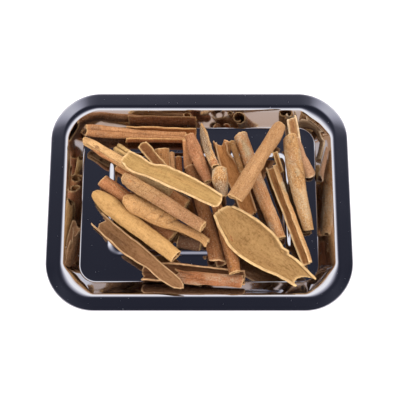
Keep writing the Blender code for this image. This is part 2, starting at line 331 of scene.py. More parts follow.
def buildTray():
    # one surface: place = lies * (half size - inset - corner) + corner * faces, with inset and height from
    # the rows; the corner shrinks as the inset grows, and the sheet is half its gauge to each side
    low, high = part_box("tray")
    length, width = (high.x - low.x) / mm, (high.y - low.y) / mm
    half = tray["sheet"] / 2
    rimTop, floorTop = (high.z - low.z) / mm - half, half
    lies, faces = aroundTray(tray["points"]["corner"], tray["points"]["side"])
    atCorner = np.abs(faces[:, 0] * faces[:, 1]) * 2              # 0 on the sides, 1 in a corner's middle
    behind = np.where(lies[:, 0] > 0, tray["slack"]["backRight"], tray["slack"]["backLeft"])
    most = np.where(lies[:, 1] < 0, tray["slack"]["front"], behind)
    slack = (easeStep(0.0, 1.0, atCorner) * most)[None, :, None]
    firm = trayRows(tray["rim"], rimTop, floorTop, tray["topRound"])[:, None, :]
    loose = trayRows(tray["cornerRim"], rimTop, floorTop, tray["cornerTopRound"])[:, None, :]
    rows = firm * (1 - slack) + loose * slack
    inset, height = rows[..., 0] + half, rows[..., 1]
    corner = np.maximum(tray["corner"] - inset, tray["panelCorner"])
    sag = tray["cornerSag"] * atCorner ** 2 * np.clip(1 - inset / tray["rim"], 0, 1)
    middle = np.stack([lies[:, 0] * (length / 2 - inset - corner) + corner * faces[:, 0],
                       lies[:, 1] * (width / 2 - inset - corner) + corner * faces[:, 1],
                       height - sag], axis=-1)
    around = np.roll(middle, -1, axis=1) - np.roll(middle, 1, axis=1)
    normal = np.cross(around, np.gradient(middle, axis=0))
    normal /= np.linalg.norm(normal, axis=2, keepdims=True)
    top, bottom = middle + normal * half, middle - normal * half
    count = middle[..., 0].size
    points = np.concatenate([top.reshape(-1, 3), bottom.reshape(-1, 3)]) * mm
    points[:, 2] = np.clip(points[:, 2] + low.z, low.z, high.z)
    columns = middle.shape[1]
    upper = gridQuads(len(middle), columns, closed=True)
    k = np.arange(columns)
    edge = np.stack([k, k + count, (k + 1) % columns + count, (k + 1) % columns], 1)
    panel = (len(middle) - 1) * columns + k
    quads = np.concatenate([upper, upper[:, ::-1] + count, edge])
    panels = [panel.tolist(), (panel + count)[::-1].tolist()]
    piece = putMesh("steelTray", points, quads, steelMaterial(), panels)
    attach(piece, "root")
    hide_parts("tray")


buildTray()
print("tray pressed")


# what a stick is unless its own dictionary says otherwise; mm, degrees and screen colours
# the first lines repeat the CAD part's form, and shown is what the fine piece has instead of it
# places on a strip: 0 to 1 along it, -1 to 1 across it; edges and ends list how much is broken off there
# creases: (place, mm left, place, mm left, half width, depth, painted shade along it)
# stains and painted light: (place, mm left, reach along, reach across, colour, strength)
usual = dict(
    oval=0.9, turn=450, lean=0.3, hook=0.6, thick=1.7, narrowA=0, narrowB=0,
    slantA=0, slantB=0, pointA=0, pointB=0, bow=0, roll=180, shown={},
    wall=0.75,                                        # share of the thickness kept
    lip=0, lift=0, shadow=0,                          # mm of swelling and of lift; painted shade beside the long edges
    edgeA=None, edgeB=None, endA=None, endB=None,     # (place, mm) broken off the edges and the ends
    left=None, right=None,                            # its outline from above: (place, mm left of its line)
    turns=None, curlA=None, curlB=None,               # changes of the curl along it, factors and degrees
    creases=(), stainsAndPaintedLight=(),
    wobble=0.45, tear=0.5, chip=0.6, wave=0.03,       # mm of raggedness, and the share it swells by
    lumps=0.45, ridges=0.16, wrinkles=0.08,           # mm of relief
    bark=(176, 122, 80), inside=(190, 142, 92), cut=(222, 180, 126), crust=(178, 166, 140),
    rim=0.6,                                          # mm of cut bark that shows at the edges
    fibre=0.35, mottle=0.35, band=0.15, grain=1.0,    # how strong each pattern is in the colour
    crack=0.3, speck=0.3, pale=0.2, lichen=0,
    slot="bark_tan", rows=110, columns=76)

# mm from one feature to the next, and for two values along the strip and across it
spacing = dict(tear=9, splinter=2.2, wobble=9, chip=2.4, wave=24, swelling=(11, 5), ridges=(16, 1.6),
               wrinkles=(1.9, 7), lumps=(20, 9), crust=(13, 8), cut=(3, 3), stainAndPaintedLight=(4, 4))


def through(points, x):
    # a smooth line through typed (place, value) pairs: a cubic between neighbours, sloped as the chord over
    # each; nothing typed means 0
    if points is None:
        return 0 * x
    place, value = np.array(points, float).T
    slope = np.gradient(value, place)
    k = np.clip(np.searchsorted(place, x) - 1, 0, len(place) - 2)
    span = place[k + 1] - place[k]
    f = np.clip((x - place[k]) / span, 0, 1)
    return ((2 * f ** 3 - 3 * f ** 2 + 1) * value[k] + (f ** 3 - 2 * f ** 2 + f) * span * slope[k]
            + (3 * f ** 2 - 2 * f ** 3) * value[k + 1] + (f ** 3 - f ** 2) * span * slope[k + 1])


def evenlyWithEdges(count):
    # -1 to 1 in count steps, with two more points close to each end for the rounded edge
    inner = np.linspace(-0.967, 0.967, count)
    return np.concatenate([[-1, -0.99], inner, [0.99, 1]])


reach = 1.3         # how far past its own edges a section is traced, for splinters that stand out
traceSteps = 521


def traceCurl(form, turn, curlA, curlB):
    # heading = turn/2 (u + lean u^2/2 + hook u^3/3) / (1 + hook/3) + extra curl that grows with u^2 to each
    # side, and the section is the sum of its steps along u
    u = np.linspace(-reach, reach, traceSteps)
    gain = (u + form["lean"] * u ** 2 / 2 + form["hook"] * u ** 3 / 3) / (1 + form["hook"] / 3)
    heading = np.radians(turn)[:, None] / 2 * gain
    heading = heading + np.radians(curlB)[:, None] * np.maximum(u, 0) ** 2
    heading = heading - np.radians(curlA)[:, None] * np.maximum(-u, 0) ** 2
    step = u[1] - u[0]
    return u, np.cumsum(np.cos(heading), axis=1) * step, np.cumsum(np.sin(heading), axis=1) * step


def centred(line, own):
    # each row with the middle of its own part, between the strip's two edges, at 0
    part = line[:, own]
    return line - (part.max(1) + part.min(1))[:, None] / 2


def barkSurface(form, shares, along, seed, fine=True):
    # the strip's middle surface in its own axes, along +X: curled sections from end to end, rolled about X.
    # With it go the share across at each point, the mm in a share, and the mm to the nearest edge and end
    t = along[:, None]
    one = np.ones_like(along)
    own = np.abs(np.linspace(-reach, reach, traceSteps)) <= 1.0001        # between the strip's two edges
    _, plain, _ = traceCurl(form, one[:1] * form["turn"], 0 * one[:1], 0 * one[:1])
    scale = form["across"] / np.ptp(plain[0, own])
    low, high = -1.0 + 0 * t, 1.0 + 0 * t
    turn, roll, swell = one * form["turn"], one * form["roll"], 1.0
    curlA = curlB = 0 * one
    if fine:
        x = t * form["length"]
        ragged = [form["tear"] * (0.6 * layered(x / spacing["tear"], 0 * x, seed + k)
                                  + 0.4 * layered(x / spacing["splinter"], 0 * x, seed + k + 5))
                  for k in (1, 2)]
        low = low + (through(form["edgeA"], t) + ragged[0]) / scale
        high = high - (through(form["edgeB"], t) + ragged[1]) / scale
        turn = turn * (through(form["turns"], along) if form["turns"] else 1)
        curlA, curlB = through(form["curlA"], along), through(form["curlB"], along)
        swell = 1 + form["wave"] * layered(x / spacing["wave"], 0 * x, seed + 3, 2)
    u = low + (high - low) * (shares[None, :] + 1) / 2
    _, side, rise = traceCurl(form, turn, curlA, curlB)
    side, rise = centred(side, own) * scale, centred(rise, own) * scale * form["oval"]
    roll = np.radians(roll)[:, None]
    side, rise = side * np.cos(roll) - rise * np.sin(roll), side * np.sin(roll) + rise * np.cos(roll)
    full = 1 - form["narrowA"] * (1 - t) ** 3 - form["narrowB"] * t ** 3
    push = form["bow"] * (1 - (2 * t - 1) ** 2)
    if fine and form["left"]:
        wobbles = [form["wobble"] * layered(t * form["length"] / spacing["wobble"], 0 * t, seed + k, 2)
                   for k in (40, 41)]
        left = through(form["left"], t) + wobbles[0]
        right = through(form["right"], t) + wobbles[1]
        most, least = side[:, own].max(1)[:, None], side[:, own].min(1)[:, None]
        full = (left - right - form["thick"]) / (most - least)
        push = (left + right) / 2 - full * (most + least) / 2
    full = full * swell
    at = (np.clip(u, -reach, reach) + reach) / (2 * reach) * (traceSteps - 1)
    k = np.clip(np.floor(at).astype(int), 0, traceSteps - 2)
    row = np.arange(len(along))[:, None]
    side = side[row, k] + (side[row, k + 1] - side[row, k]) * (at - k)
    rise = rise[row, k] + (rise[row, k + 1] - rise[row, k]) * (at - k)
    start = -form["length"] / 2 + form["slantA"] * u + form["pointA"] * np.abs(u)
    finish = form["length"] / 2 + form["slantB"] * u - form["pointB"] * np.abs(u)
    if fine:
        girth = u * scale / spacing["chip"]
        start = start + through(form["endA"], u) + form["chip"] * layered(girth, 0 * u, seed + 11)
        finish = finish - through(form["endB"], u) - form["chip"] * layered(girth, 0 * u, seed + 12)
    x = start + (finish - start) * t
    y, z = side * full + push, rise * full
    toEdge = np.minimum(u - low, high - u) * scale
    toEnd = np.minimum(x - start, finish - x)
    return np.stack([x, y, z], axis=-1), u, scale, toEdge, toEnd


def restingPlace(form):
    # the turn and the shift that carry the strip's two end rows onto the end rows of its CAD node
    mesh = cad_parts[form["node"]].data
    points = np.empty(len(mesh.vertices) * 3, np.float32)
    mesh.vertices.foreach_get("co", points)
    points = np.unique(np.round(points.reshape(-1, 3).astype(float) / mm, 3), axis=0)
    heading = math.radians(form["heading"])
    along = points @ np.array([math.cos(heading), math.sin(heading), 0.0])
    order = np.argsort(along)
    gaps = np.nonzero(np.diff(along[order]) > 3.0)[0]     # the CAD's rows stand more than 3 mm apart
    first, last = points[order[:gaps[0] + 1]], points[order[gaps[-1] + 1:]]
    facets = len(first) // 2 - 1
    rough = barkSurface(form, np.linspace(-1, 1, facets + 1), np.array([0.0, 1.0]), 0, fine=False)[0]
    ownFirst, ownLast = rough[0].mean(0), rough[1].mean(0)
    own, there = ownLast - ownFirst, last.mean(0) - first.mean(0)
    pitch = math.asin(there[2] / math.hypot(own[0], own[2])) - math.atan2(own[2], own[0])
    forward = math.cos(pitch) * own[0] - math.sin(pitch) * own[2]
    heading = math.atan2(there[1], there[0]) - math.atan2(own[1], forward)
    cosH, sinH, cosP, sinP = math.cos(heading), math.sin(heading), math.cos(pitch), math.sin(pitch)
    turn = (np.array([[cosH, -sinH, 0], [sinH, cosH, 0], [0, 0, 1]])
            @ np.array([[cosP, 0, -sinP], [0, 1, 0], [sinP, 0, cosP]]))
    shift = (first.mean(0) + last.mean(0)) / 2 - turn @ ((ownFirst + ownLast) / 2)
    return turn, shift


# noise in the bark: features in 100 mm along it and across it, detail, roughness
pattern = dict(fibres=(8, 80, 3.0, 0.65), mottling=(30, 40, 3.0, 0.6), patches=(7, 16, 2.0, 0.5),
               bands=(95, 16, 2.0, 0.5), fine=(95, 130, 3.0, 0.7), pores=(95, 80, 1.0, 0.5),
               cracks=(5, 120, 2.0, 0.5), crust=(70, 70, 4.0, 0.7), cut=(75, 60, 3.0, 0.5))
black, white = (0, 0, 0, 1), (1, 1, 1, 1)
# the second colour is painted shade, laid along creases and in the hollow beside the lips
crackShade, paintedShadeColour = (0.10, 0.035, 0.012, 1), (0.045, 0.018, 0.008, 1)


def barkMaterial(form):
    # colour = (bark or inside, then stains and painted light) * tone from fibres, mottling, bands and
    # grain, and over that the cracks, pores, crust, cut edges and painted shade, each by its own share
    material, tree, shader = startMaterial(form["node"] + "Bark", {"Specular IOR Level": 0.3})
    uv = makeNode(tree, "ShaderNodeUVMap", uv_map="along").outputs["UV"]
    look = makeNode(tree, "ShaderNodeAttribute", attribute_name="look")
    stainAndPaintedLight = makeNode(tree, "ShaderNodeAttribute", attribute_name="stainAndPaintedLight")
    parts = makeNode(tree, "ShaderNodeSeparateColor", {"Color": look.outputs["Color"]})
    insideShare, cutShare, crustShare = parts.outputs
    # the alpha carries painted shade along creases and beside the lips
    paintedShade = look.outputs["Alpha"]

    def grain(name):
        # noise over the strip laid flat, stretched as its pattern says
        along, across, detail, rough = pattern[name]
        stretched = makeNode(tree, "ShaderNodeMapping", {"Vector": uv, "Scale": (along, across, 1.0)})
        return makeNode(tree, "ShaderNodeTexNoise", {"Vector": stretched.outputs[0], "Scale": 1.0,
                                                     "Detail": detail, "Roughness": rough}).outputs[0]

    def addTone(value, strength, before):
        # before + strength * (value - 0.5)
        shifted = sums(tree, "SUBTRACT", value, 0.5)
        return makeNode(tree, "ShaderNodeMath", {0: shifted, 1: strength, 2: before},
                        operation="MULTIPLY_ADD").outputs[0]

    def shade(colour, factor=1.0):
        # a screen colour as light, times the factor
        return tuple(value * factor for value in toLinear(colour)[:3]) + (1.0,)

    fibres, mottling, patches = grain("fibres"), grain("mottling"), grain("patches")
    bands, fine, pores = grain("bands"), grain("fine"), grain("pores")
    # noise keeps close to 0.5, so each pattern is stretched before its own strength counts
    tone = addTone(fibres, 2.2 * form["fibre"], 0.5)
    tone = addTone(mottling, 2.4 * form["mottle"], tone)
    tone = addTone(patches, 2.0 * form["mottle"], tone)
    tone = addTone(bands, 2.2 * form["band"], tone)
    tone = addTone(fine, 0.9 * form["grain"], tone)
    shading = makeRamp(tree, tone, [(0.0, (0.30, 0.245, 0.20, 1)), (0.3, (0.58, 0.54, 0.50, 1)),
                                    (0.5, (0.77, 0.77, 0.77, 1)), (1.0, white)])
    colour = mixColour(tree, insideShare, shade(form["bark"]), shade(form["inside"]))
    # the stains, and a painted pool of light where a stick lies in shadow
    colour = mixColour(tree, stainAndPaintedLight.outputs["Alpha"], colour, stainAndPaintedLight.outputs["Color"])
    colour = mixColour(tree, 1.0, colour, shading, "MULTIPLY")
    cracks = makeRamp(tree, grain("cracks"), [(0.28, white), (0.36, black)])
    colour = mixColour(tree, sums(tree, "MULTIPLY", cracks, form["crack"]), colour, crackShade)
    outside = sums(tree, "SUBTRACT", 1.0, insideShare)
    dark = makeRamp(tree, pores, [(0.36, white), (0.42, black)])
    dark = sums(tree, "MULTIPLY", sums(tree, "MULTIPLY", dark, form["speck"]), outside)
    colour = mixColour(tree, dark, colour, crackShade)
    light = makeRamp(tree, pores, [(0.60, black), (0.66, white)])
    light = sums(tree, "MULTIPLY", sums(tree, "MULTIPLY", light, form["pale"]), outside)
    colour = mixColour(tree, light, colour, shade(form["crust"], 1.15))
    patch = makeRamp(tree, grain("crust"), [(0.42, black), (0.58, white)])
    colour = mixColour(tree, sums(tree, "MULTIPLY", patch, crustShare), colour, shade(form["crust"]))
    cut = makeRamp(tree, grain("cut"), [(0.3, shade(form["cut"], 0.74)), (0.62, shade(form["cut"], 1.04))])
    colour = mixColour(tree, cutShare, colour, cut)
    # painted shade: darker along the creases and in a band just inside the lips
    colour = mixColour(tree, paintedShade, colour, paintedShadeColour)
    tree.links.new(colour, shader.inputs["Base Color"])
    gloss = makeNode(tree, "ShaderNodeMapRange", {"Value": tone, "From Min": 0.2, "From Max": 0.8,
                                                  "To Min": 0.92, "To Max": 0.62}).outputs[0]
    tree.links.new(gloss, shader.inputs["Roughness"])
    height = addTone(fibres, 0.9, addTone(fine, 0.6, addTone(bands, 0.5, addTone(mottling, 1.2, 0.5))))
    bump = makeNode(tree, "ShaderNodeBump", {"Height": height, "Strength": 0.8, "Distance": 0.8 * mm})
    tree.links.new(bump.outputs[0], shader.inputs["Normal"])
    return material


# how a strip's skins are finished: shares, and then mm in from the edges
skin = dict(edgeRound=0.42, thinnest=0.16, swelling=0.12, innerLumps=0.8,
            lipReach=1.6, shadowAt=3.4, shadowReach=1.7, calmReach=1.2)


def nearLine(x, y, line, length):
    # mm, seen from above, from each point to the crease's own straight line
    ax, ay, bx, by = (line[0] - 0.5) * length, line[1], (line[2] - 0.5) * length, line[3]
    size = max((bx - ax) ** 2 + (by - ay) ** 2, 1e-6)
    share = np.clip(((x - ax) * (bx - ax) + (y - ay) * (by - ay)) / size, 0, 1)
    return np.hypot(x - ax - share * (bx - ax), y - ay - share * (by - ay))


def layStick(own):
    # two skins either side of the middle surface, swollen or thinned towards the edges, with relief on the
    # bark side: skin = middle -+ normal * (share of the thickness + relief + lumps - creases)
    cadForm = {**usual, **own}
    form = {**cadForm, **cadForm["shown"]}
    seed = sum(ord(letter) * (k + 3) for k, letter in enumerate(form["node"])) % 997
    shares = evenlyWithEdges(form["columns"])
    along = (evenlyWithEdges(form["rows"]) + 1) / 2
    middle, u, scale, toEdge, toEnd = barkSurface(form, shares, along, seed)
    normal = np.cross(np.gradient(middle, axis=0), np.gradient(middle, axis=1))
    normal /= np.linalg.norm(normal, axis=2, keepdims=True)
    x, y, girth = middle[..., 0], middle[..., 1], u * scale

    def uneven(name, extra, layers=3):
        # layered noise at the spacing of that feature, along the strip and across it
        alongSize, acrossSize = spacing[name]
        return layered(x / alongSize, girth / acrossSize, seed + extra, layers)

    near = np.minimum(toEdge, toEnd)
    thick = form["thick"]
    inFromEdge = np.clip(near / (skin["edgeRound"] * thick), 0, 1)
    rounded = np.sqrt(np.clip(1 - (1 - inFromEdge) ** 2, skin["thinnest"], 1))
    swollen = (1 + form["lip"] / thick * np.exp(-(toEdge / skin["lipReach"]) ** 2)
               + skin["swelling"] * uneven("swelling", 6))
    relief = form["ridges"] * uneven("ridges", 8, 2) + form["wrinkles"] * uneven("wrinkles", 9, 2)
    lump = form["lumps"] * uneven("lumps", 7)
    # painted shade: a darker band a little in from the long edges, under the lip, and darker lines along
    # the creases
    paintedShade = form["shadow"] * np.exp(-((toEdge - skin["shadowAt"]) / skin["shadowReach"]) ** 2)
    for *line, halfWidth, deep, creaseShade in form["creases"]:
        closeness = np.exp(-(nearLine(x, y, line, form["length"]) / halfWidth) ** 2)
        lump = lump - deep * closeness
        paintedShade = np.maximum(paintedShade, creaseShade * closeness ** 2)
    calm = easeStep(0, skin["calmReach"], near)
    outer = middle - normal * (rounded * (thick / 2 * swollen) + calm * (relief + lump))[..., None]
    inner = middle + normal * (rounded * (thick * (form["wall"] - 0.5) * swollen)
                               - calm * lump * skin["innerLumps"])[..., None]
    turn, shift = restingPlace(cadForm)
    shift = shift + np.array([0.0, 0.0, form["lift"]])
    points = (np.concatenate([outer.reshape(-1, 3), inner.reshape(-1, 3)]) @ turn.T + shift) * mm

    rows, columns = middle.shape[:2]
    count = rows * columns
    bark = gridQuads(rows, columns)

    def rimQuads(first, step):
        # from an edge point of the bark side across to the inside, and on to the next, step points further
        return np.stack([first, first + count, first + step + count, first + step], 1)

    down, across, turned = np.arange(rows - 1) * columns, np.arange(columns - 1), [0, 3, 2, 1]
    faces = np.concatenate([
        bark, bark[:, ::-1] + count,
        rimQuads(down, columns)[:, turned], rimQuads(down + columns - 1, columns),
        rimQuads(across, 1), rimQuads(across + (rows - 1) * columns, 1)[:, turned]])

    # what the material reads at every corner: inside, cut edge, crust and painted shade; the tint and share
    # of the stains and painted light
    isInside = np.zeros(len(faces))
    isInside[len(bark):2 * len(bark)] = 1.0
    pale = np.exp(-(toEdge / form["rim"]) ** 2) + np.exp(-(toEnd / form["rim"]) ** 2)
    pale = np.clip(pale * (0.8 + 0.4 * uneven("cut", 20)), 0, 1)
    patch = np.clip(form["lichen"] * 2 * easeStep(-0.2, 0.6, uneven("crust", 10)), 0, 1)
    tint, share = np.zeros(x.shape + (3,)), np.zeros(x.shape)
    # stains, and painted light where a stick lies in another's shadow
    for place, leftBy, reachAlong, reachAcross, colour, strength in form["stainsAndPaintedLight"]:
        off = np.hypot((x - (place - 0.5) * form["length"]) / reachAlong, (y - leftBy) / reachAcross)
        spot = strength * (1 - easeStep(0.55, 1.25, off + 0.3 * uneven("stainAndPaintedLight", 30)))
        tint = tint * (1 - spot[..., None]) + np.array(toLinear(colour)[:3]) * spot[..., None]
        share = share * (1 - spot) + spot
    tint = tint / np.maximum(share, 1e-6)[..., None]
    corners = faces.ravel()

    def onSkins(outside, inside):
        # the bark side's values, then the inside's, taken at every face corner
        return np.concatenate([outside.ravel(), inside.ravel()])[corners]

    look = np.stack([np.repeat(isInside, 4), onSkins(pale, pale),
                     onSkins(patch, 0 * patch), onSkins(paintedShade, paintedShade)], 1)
    stainAndPaintedLight = np.stack([onSkins(tint[..., k], tint[..., k]) for k in range(3)]
                     + [onSkins(share, 0.5 * share)], 1)
    # laid flat in units of 100 mm, each stick at its own place in the pattern
    flat = np.stack([x + 200, girth + (seed % 50) * 3], axis=-1).reshape(-1, 2) / 100
    uv = np.concatenate([flat, flat + (0.5, 0.5)])[corners]
    piece = putMesh(form["node"] + "Piece", points, faces, barkMaterial(form),
                    uv=uv, look=look, stainAndPaintedLight=stainAndPaintedLight)
    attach(piece, "root")
    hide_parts(form["node"])


holdingGutter = dict(
    node="holding_gutter", heading=-1, length=64, across=16.5, turn=215, lean=0, hook=0.3, thick=1.5,
    roll=-4, shown=dict(oval=1.15), left=[(0, 8.9), (1, 8.2)], right=[(0, -5.6), (1, -5.2)],
    curlA=[(0, 50), (1, 40)], lift=3, lip=0.5, rim=1, endA=[(-1, 0.5), (-0.5, -0.5), (0.6, 1.2), (1, 0)],
    bark=(154, 92, 53), inside=(186, 114, 65), cut=(206, 158, 104), fibre=0.4, band=0.3, slot="bark_red")
layStick(holdingGutter)

nestedStick = dict(
    node="nested_stick", heading=-2.5, length=92, across=10, oval=0.85, thick=1.35, roll=100,
    shown=dict(turn=560, lean=0, hook=2.4, oval=0.8, thick=1.1, roll=4),
    left=[(0, 5.9), (0.06, 6.4), (0.36, 5.1), (0.46, 4.3), (1, 4)],
    right=[(0, -4.2), (0.07, -5), (0.4, -4.9), (1, -4.5)],
    endA=[(-0.7, 1.6), (-0.35, -0.2), (0, 1.4), (0.35, -0.6), (0.7, 1.2)], lip=0.3,
    stainsAndPaintedLight=[(0.1, 2.5, 6, 2.2, (126, 92, 66), 0.6), (0.16, -2.5, 5, 2, (130, 90, 62), 0.5),
            (0.3, 3, 9, 2, (206, 150, 104), 0.4)],
    bark=(176, 122, 80), inside=(162, 108, 68), band=0.4, wrinkles=0.12, slot="bark_red")
layStick(nestedStick)

frontGutter = dict(
    node="front_gutter", heading=-4.5, length=98, across=16, turn=215, lean=0, hook=0.2, roll=0,
    left=[(0, 8.6), (0.34, 9.4), (0.75, 7.2), (1, 6.6)], right=[(0, -8.6), (0.5, -8.2), (1, -7)],
    endA=[(-1, 2.5), (-0.6, 0), (-0.35, 1.6), (0, -0.5), (0.4, 1.2), (0.8, 0), (1, 2.5)],
    curlB=[(0, 30), (1, 20)], endB=[(-1, 7), (1, 7)], lip=0.5, rim=0.9, chip=1,
    creases=[(0, 2.6, 0.3, 1.8, 0.7, -0.6, 0), (0, -2.4, 0.26, -3, 0.7, -0.7, 0),
             (0, 0, 0.3, -0.4, 0.8, 0.5, 0.7)],
    bark=(150, 104, 70), inside=(126, 84, 56), cut=(214, 168, 122), fibre=0.5, slot="bark_brown")
layStick(frontGutter)

frontSlab = dict(
    node="front_slab", heading=-8, length=58, across=12.5, turn=120, lean=0, hook=0, roll=180,
    left=[(0, 3.4), (0.1, 2.6), (0.4, 3.2), (1, 5)],
    right=[(0, -6.4), (0.08, -8.2), (0.5, -7.8), (1, -6.6)],
    endA=[(-1, -3.5), (-0.6, -2), (-0.1, 0.5), (0.3, -2.5), (1, -1)], endB=[(-1, 1.2), (0, 0), (1, 1.4)],
    tear=0.8, chip=1.1, lip=0.3,
    creases=[(0, 0, 0.25, -1.2, 0.5, 0.35, 0.6), (0.05, -4.5, 0.4, -4, 0.5, 0.25, 0.4)],
    stainsAndPaintedLight=[(0.5, 0.5, 7, 2.2, (200, 160, 120), 0.35), (0.7, 2.2, 8, 1.6, (190, 140, 104), 0.5),
            (0.1, -2, 7, 4, (132, 84, 54), 0.5)],
    bark=(168, 107, 69), inside=(153, 96, 58), lichen=0.25, fibre=0.45, slot="bark_red")
layStick(frontSlab)

cornerGutter = dict(
    node="corner_gutter", heading=-82, length=34, across=8, turn=190, lean=0, hook=0, roll=0,
    curlB=[(0, 50), (0.35, 10), (1, 0)], endA=[(-1, 1), (0, 0), (1, -2)], lip=0.8, rim=1.3,
    stainsAndPaintedLight=[(0.5, 0, 20, 2, (138, 78, 48), 0.8)],
    bark=(204, 159, 112), inside=(198, 149, 101), cut=(232, 200, 158))
layStick(cornerGutter)

sideCurl = dict(
    node="side_curl", heading=-70.5, length=38, across=8.5, turn=200, lean=0, hook=0, narrowA=0.45, bow=-3,
    roll=185, left=[(0, 0.9), (0.4, 2), (0.8, 3.6), (1, 4.6)], right=[(0, -3.4), (0.5, -5.6), (1, -5.6)],
    endB=[(-1, 1.5), (0, -1.2), (1, 1.5)], lip=0.6, rim=1,
    bark=(192, 144, 107), inside=(120, 70, 42), cut=(230, 198, 160))
layStick(sideCurl)

backStick = dict(
    node="back_stick", heading=-87, length=26, across=7, turn=400, thick=1.05, roll=150,
    bark=(214, 147, 98), speck=0.2)
layStick(backStick)

stubLeft = dict(node="stub_left", heading=-84, length=24, across=5, turn=400, thick=1.05, roll=170,
                bark=(200, 146, 99))
layStick(stubLeft)

stubRight = dict(node="stub_right", heading=-86, length=20, across=4.8, turn=400, thick=1.05, roll=190,
                 bark=(138, 84, 46))
layStick(stubRight)

flatPiece = dict(node="flat_piece", heading=-86, length=22, across=12.5, turn=120, lean=0, hook=0, roll=180,
                 bark=(177, 123, 76), cut=(226, 184, 132), rim=1)
layStick(flatPiece)

middleStick = dict(
    node="middle_stick", heading=-74.3, length=91.5, across=11.3, thick=1.6, roll=170,
    left=[(0, 4.7), (0.74, 5.1), (1, 5.2)], right=[(0, -6.8), (0.7, -7.4), (1, -8.6)],
    endB=[(-0.6, -3), (0, 0), (0.5, 3.5)], rim=1.1,
    stainsAndPaintedLight=[(0.85, 3, 12, 2, (190, 126, 82), 0.5), (0.75, -5, 18, 3, (104, 60, 34), 0.5)],
    bark=(146, 96, 60), inside=(110, 66, 40), cut=(224, 178, 130))
layStick(middleStick)

frontStick = dict(
    node="front_stick", heading=-74.8, length=66.5, across=9.5, thick=1.4, roll=200,
    left=[(0, 5.6), (0.88, 6.6), (1, 5.4)], right=[(0, -3.6), (0.83, -4.7), (1, -5.2)],
    stainsAndPaintedLight=[(0.75, -3.2, 18, 1.8, (96, 56, 32), 0.6), (0.7, 2.5, 18, 2, (182, 120, 78), 0.5)],
    bark=(161, 107, 63), wrinkles=0.1, fibre=0.4, speck=0.5)
layStick(frontStick)

hiddenQuill = dict(node="hidden_quill", heading=-11, length=21, across=10, thick=1.4, roll=150,
                   bark=(111, 79, 59), slot="bark_grey")
layStick(hiddenQuill)

underStick = dict(
    node="under_stick", heading=-31, length=73, across=9.8, thick=1.4, roll=170,
    stainsAndPaintedLight=[(0.3, 2, 14, 2, (190, 140, 92), 0.5)], bark=(184, 124, 78), speck=0.4)
layStick(underStick)

slitTip = dict(
    node="slit_tip", heading=-41, length=35, across=6.3, turn=540, lean=0, hook=3, thick=1, roll=0,
    pointA=2,
    left=[(0, 3.8), (0.1, 4.2), (1, 3.4)], right=[(0, -4.4), (0.1, -4.8), (0.4, -3.6), (1, -3.4)],
    bark=(231, 188, 124), speck=0.15, slot="bark_golden")
layStick(slitTip)

leftQuill = dict(
    node="left_quill", heading=-31, length=93, across=10.5, thick=1.5, roll=155,
    left=[(0, 3.8), (0.15, 4.9), (0.4, 5.3), (1, 5)],
    right=[(0, -4), (0.2, -5), (0.4, -5.2), (1, -5)],
    endA=[(-0.5, 1), (0, -1), (0.5, 1.5)],
    creases=[(0.05, -2.2, 0.42, -2.8, 0.45, 0.4, 0.6)],
    # the last of these is a painted pool of light on the end towards B, which lies in the long gutter's
    # shadow
    stainsAndPaintedLight=[(0.16, -0.6, 2.4, 1.3, (118, 76, 44), 0.8), (0.25, -4, 16, 1.3, (166, 96, 56), 0.7),
            (0.03, 1, 4, 3, (168, 120, 76), 0.5), (0.78, 1, 24, 6, (248, 210, 152), 0.85)],
    bark=(217, 170, 115), slot="bark_golden")
layStick(leftQuill)

crumpledGutter = dict(
    node="crumpled_gutter", heading=-69.5, length=75, across=16.3, turn=190, lean=0.2, hook=0.2, oval=0.7,
    slantA=4, roll=10, left=[(0, 7.4), (0.07, 4.6), (0.15, 2.2), (0.28, 3.8), (0.43, 5.9), (1, 5)],
    right=[(0, -8), (0.27, -10.6), (0.6, -9.6), (1, -8.6)],
    curlB=[(0, 120), (0.1, 60), (0.25, 10), (1, 0)], curlA=[(0, 60), (0.12, 20), (1, 0)],
    endA=[(-1, 5.5), (-0.7, 0.5), (-0.2, 4), (0.1, -1), (0.5, 3.5), (0.8, 0), (1, -1)], chip=1.2, tear=0.7,
    creases=[(0.02, -2, 0.2, -0.5, 0.7, 0.5, 0.3), (0.06, 2.4, 0.16, -3, 0.5, -0.4, 0.2)],
    stainsAndPaintedLight=[(0.05, 1, 6, 3, (120, 74, 46), 0.6), (0.3, -7, 14, 2.5, (104, 60, 34), 0.5)],
    lip=0.4, rim=1, bark=(182, 122, 70), inside=(196, 134, 80), cut=(218, 172, 126), slot="bark_brown")
layStick(crumpledGutter)

centreStick = dict(
    node="centre_stick", heading=-71, length=103.5, across=13, roll=165,
    left=[(0, 7.4), (0.17, 6.9), (0.5, 6.8), (1, 7)],
    right=[(0, -5.5), (0.31, -5.9), (0.7, -5.6), (1, -4.6)],
    endA=[(-0.6, 0.6), (0, -0.6), (0.5, 0.8)], rim=0.8,
    stainsAndPaintedLight=[(0.15, 0.5, 10, 2.6, (158, 146, 114), 0.55), (0.3, 4.5, 14, 1.6, (206, 156, 110), 0.5),
            (0.6, 0, 20, 3, (160, 112, 78), 0.4), (0.85, 2, 12, 2.5, (196, 150, 106), 0.4)],
    bark=(185, 129, 83), lichen=0.35, pale=0.4)
layStick(centreStick)

thinCurl = dict(node="thin_curl", heading=-74, length=20, across=4.2, turn=300, thick=1, roll=0,
                bark=(238, 188, 122), inside=(184, 128, 76), rim=0.9)
layStick(thinCurl)

